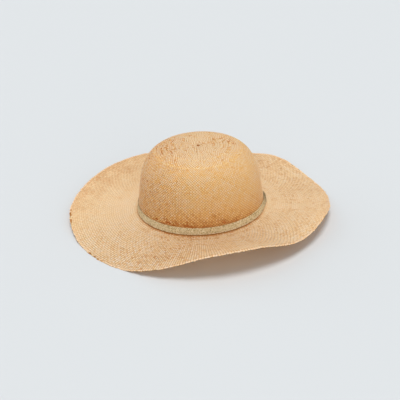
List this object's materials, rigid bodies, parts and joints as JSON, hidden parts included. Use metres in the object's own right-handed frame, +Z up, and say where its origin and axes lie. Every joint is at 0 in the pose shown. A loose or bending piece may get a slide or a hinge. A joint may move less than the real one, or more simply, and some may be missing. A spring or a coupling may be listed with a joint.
{
  "type": "straw sun hat",
  "caption": "Wide-brimmed woven straw sun hat with a rounded crown, a wavy brim, a flat tape band, and a sweatband with a size adjuster inside.",
  "frame": {"origin": "on the table that the hat lies on, under the middle of its outline", "axes": "+Z up through the crown, -Y towards the wearer's front, +X towards the wearer's left; the hat is longest along Y"},
  "size_m": [0.3854, 0.412, 0.1188],
  "materials": {
    "straw_crown": "fine diagonal straw weave, matt, with paler strands",
    "straw_brim": "fine straw weave, matt",
    "band_tape": "flat woven cream tape with darker flecks",
    "sweatband_tape": "ribbed cotton tape",
    "thread": "twisted sewing thread",
    "label_tape": "plain blank woven tape",
    "fastener": "hook and loop tape"
  },
  "bodies": {
    "hat": {"crown": "straw_crown", "brim": "straw_brim", "rim_plait": "straw_brim", "sweatband": "sweatband_tape", "base_seam_thread": "thread", "blank_label": "label_tape", "label_stitch": "thread", "adjuster_loop_strip": "fastener", "loop_strip_stitch": "thread"},
    "band": {"hat_band": "band_tape", "band_joint_cover": "band_tape", "band_joint_stitch": "thread"},
    "adjuster": {"adjuster_hook_patch": "fastener", "adjuster_tape": "sweatband_tape", "hook_patch_stitch": "thread"}
  },
  "joints": [
    {"name": "band_lift", "type": "slide", "parent": "hat", "child": "band", "axis": [0, 0, 1], "range_m": [0, 0.115]},
    {"name": "adjuster_pull", "type": "hinge", "parent": "hat", "child": "adjuster", "pos_m": [0, 0.02257, 0.0258], "axis": [0, 0, 1], "range_deg": [0, 20]}
  ]
}
